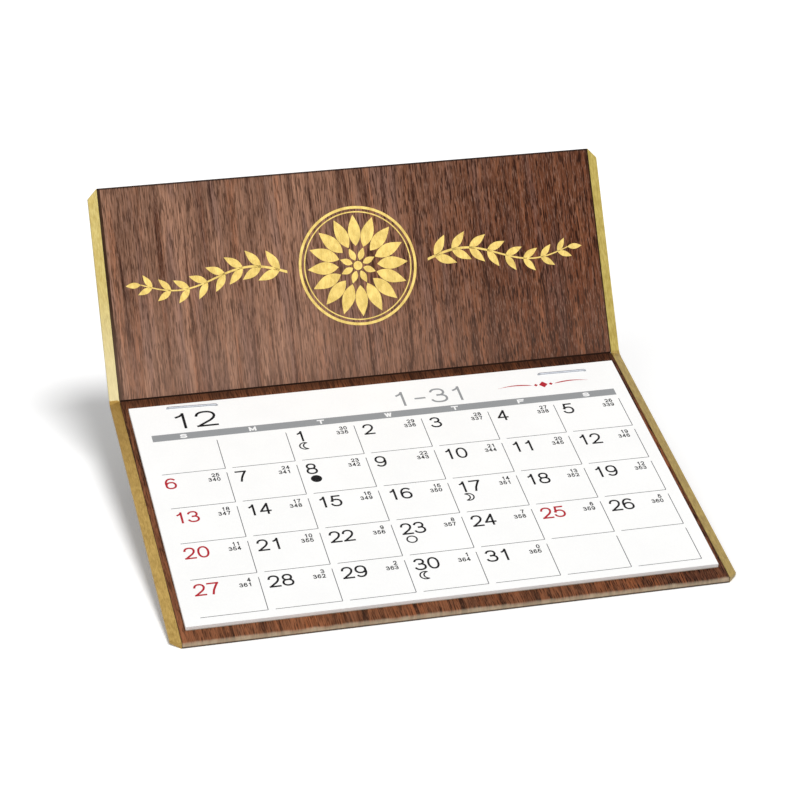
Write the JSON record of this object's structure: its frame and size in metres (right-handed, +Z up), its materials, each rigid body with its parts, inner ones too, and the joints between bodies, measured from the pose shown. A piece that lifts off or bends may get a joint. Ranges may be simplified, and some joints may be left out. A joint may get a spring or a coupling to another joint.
{
  "type": "desk calendar",
  "caption": "Folding desk calendar: sloping wood-grain base with a stapled pad of month sheets, a header panel that leans back, gold bevelled sides and a folding board easel behind.",
  "frame": {"origin": "middle of the footprint, on the surface that the calendar stands on", "axes": "+X to the reader's right, +Y to the back, +Z up"},
  "size_m": [0.196, 0.1735, 0.0986],
  "materials": {
    "board": "grey board core",
    "easel": "black-faced scored board with grey cut edges",
    "wood_grain": "satin vinyl printed with reddish-brown walnut grain",
    "gold": "gold foil over vinyl, softly brushed",
    "liner": "black liner paper",
    "backing": "plain grey card",
    "paper": "white uncoated paper",
    "wire": "bright galvanised wire"
  },
  "bodies": {
    "base": {"base_board": "board", "base_cover": "wood_grain", "base_left_edge": "gold", "base_right_edge": "gold", "base_liner": "liner", "pad_backing": "backing", "leaf_02": "paper", "leaf_03": "paper", "leaf_04": "paper", "leaf_05": "paper", "leaf_06": "paper", "leaf_07": "paper", "leaf_08": "paper", "leaf_09": "paper", "leaf_10": "paper", "leaf_11": "paper", "leaf_12": "paper", "leaf_13": "paper", "leaf_01_stub": "paper", "pad_staples": "wire"},
    "header": {"header_board": "board", "header_cover": "wood_grain", "header_left_edge": "gold", "header_right_edge": "gold", "header_liner": "liner", "easel_plate": "easel"},
    "leg": {"easel_leg": "easel"},
    "brace": {"easel_brace": "easel"},
    "top_leaf": {"leaf_01": "paper"}
  },
  "joints": [
    {"name": "header_fold", "type": "hinge", "parent": "base", "child": "header", "pos_m": [0, 0.04745, 0.02886], "axis": [-1, 0, 0], "range_deg": [0, 50.4]},
    {"name": "easel_leg_fold", "type": "hinge", "parent": "header", "child": "leg", "pos_m": [0, 0.07216, 0.06779], "axis": [-1, 0, 0], "range_deg": [0, 28.3]},
    {"name": "easel_brace_fold", "type": "hinge", "parent": "leg", "child": "brace", "pos_m": [0, 0.07116, 0.003], "axis": [1, 0, 0], "range_deg": [0, 119.62]},
    {"name": "leaf_lift", "type": "hinge", "parent": "base", "child": "top_leaf", "pos_m": [0, 0.03445, 0.02805], "axis": [-1, 0, 0], "range_deg": [0, 125]}
  ],
  "couplings": [
    {"joint": "easel_leg_fold", "follows": "header_fold", "ratio": 0.56151},
    {"joint": "easel_brace_fold", "follows": "header_fold", "ratio": 2.3734}
  ]
}
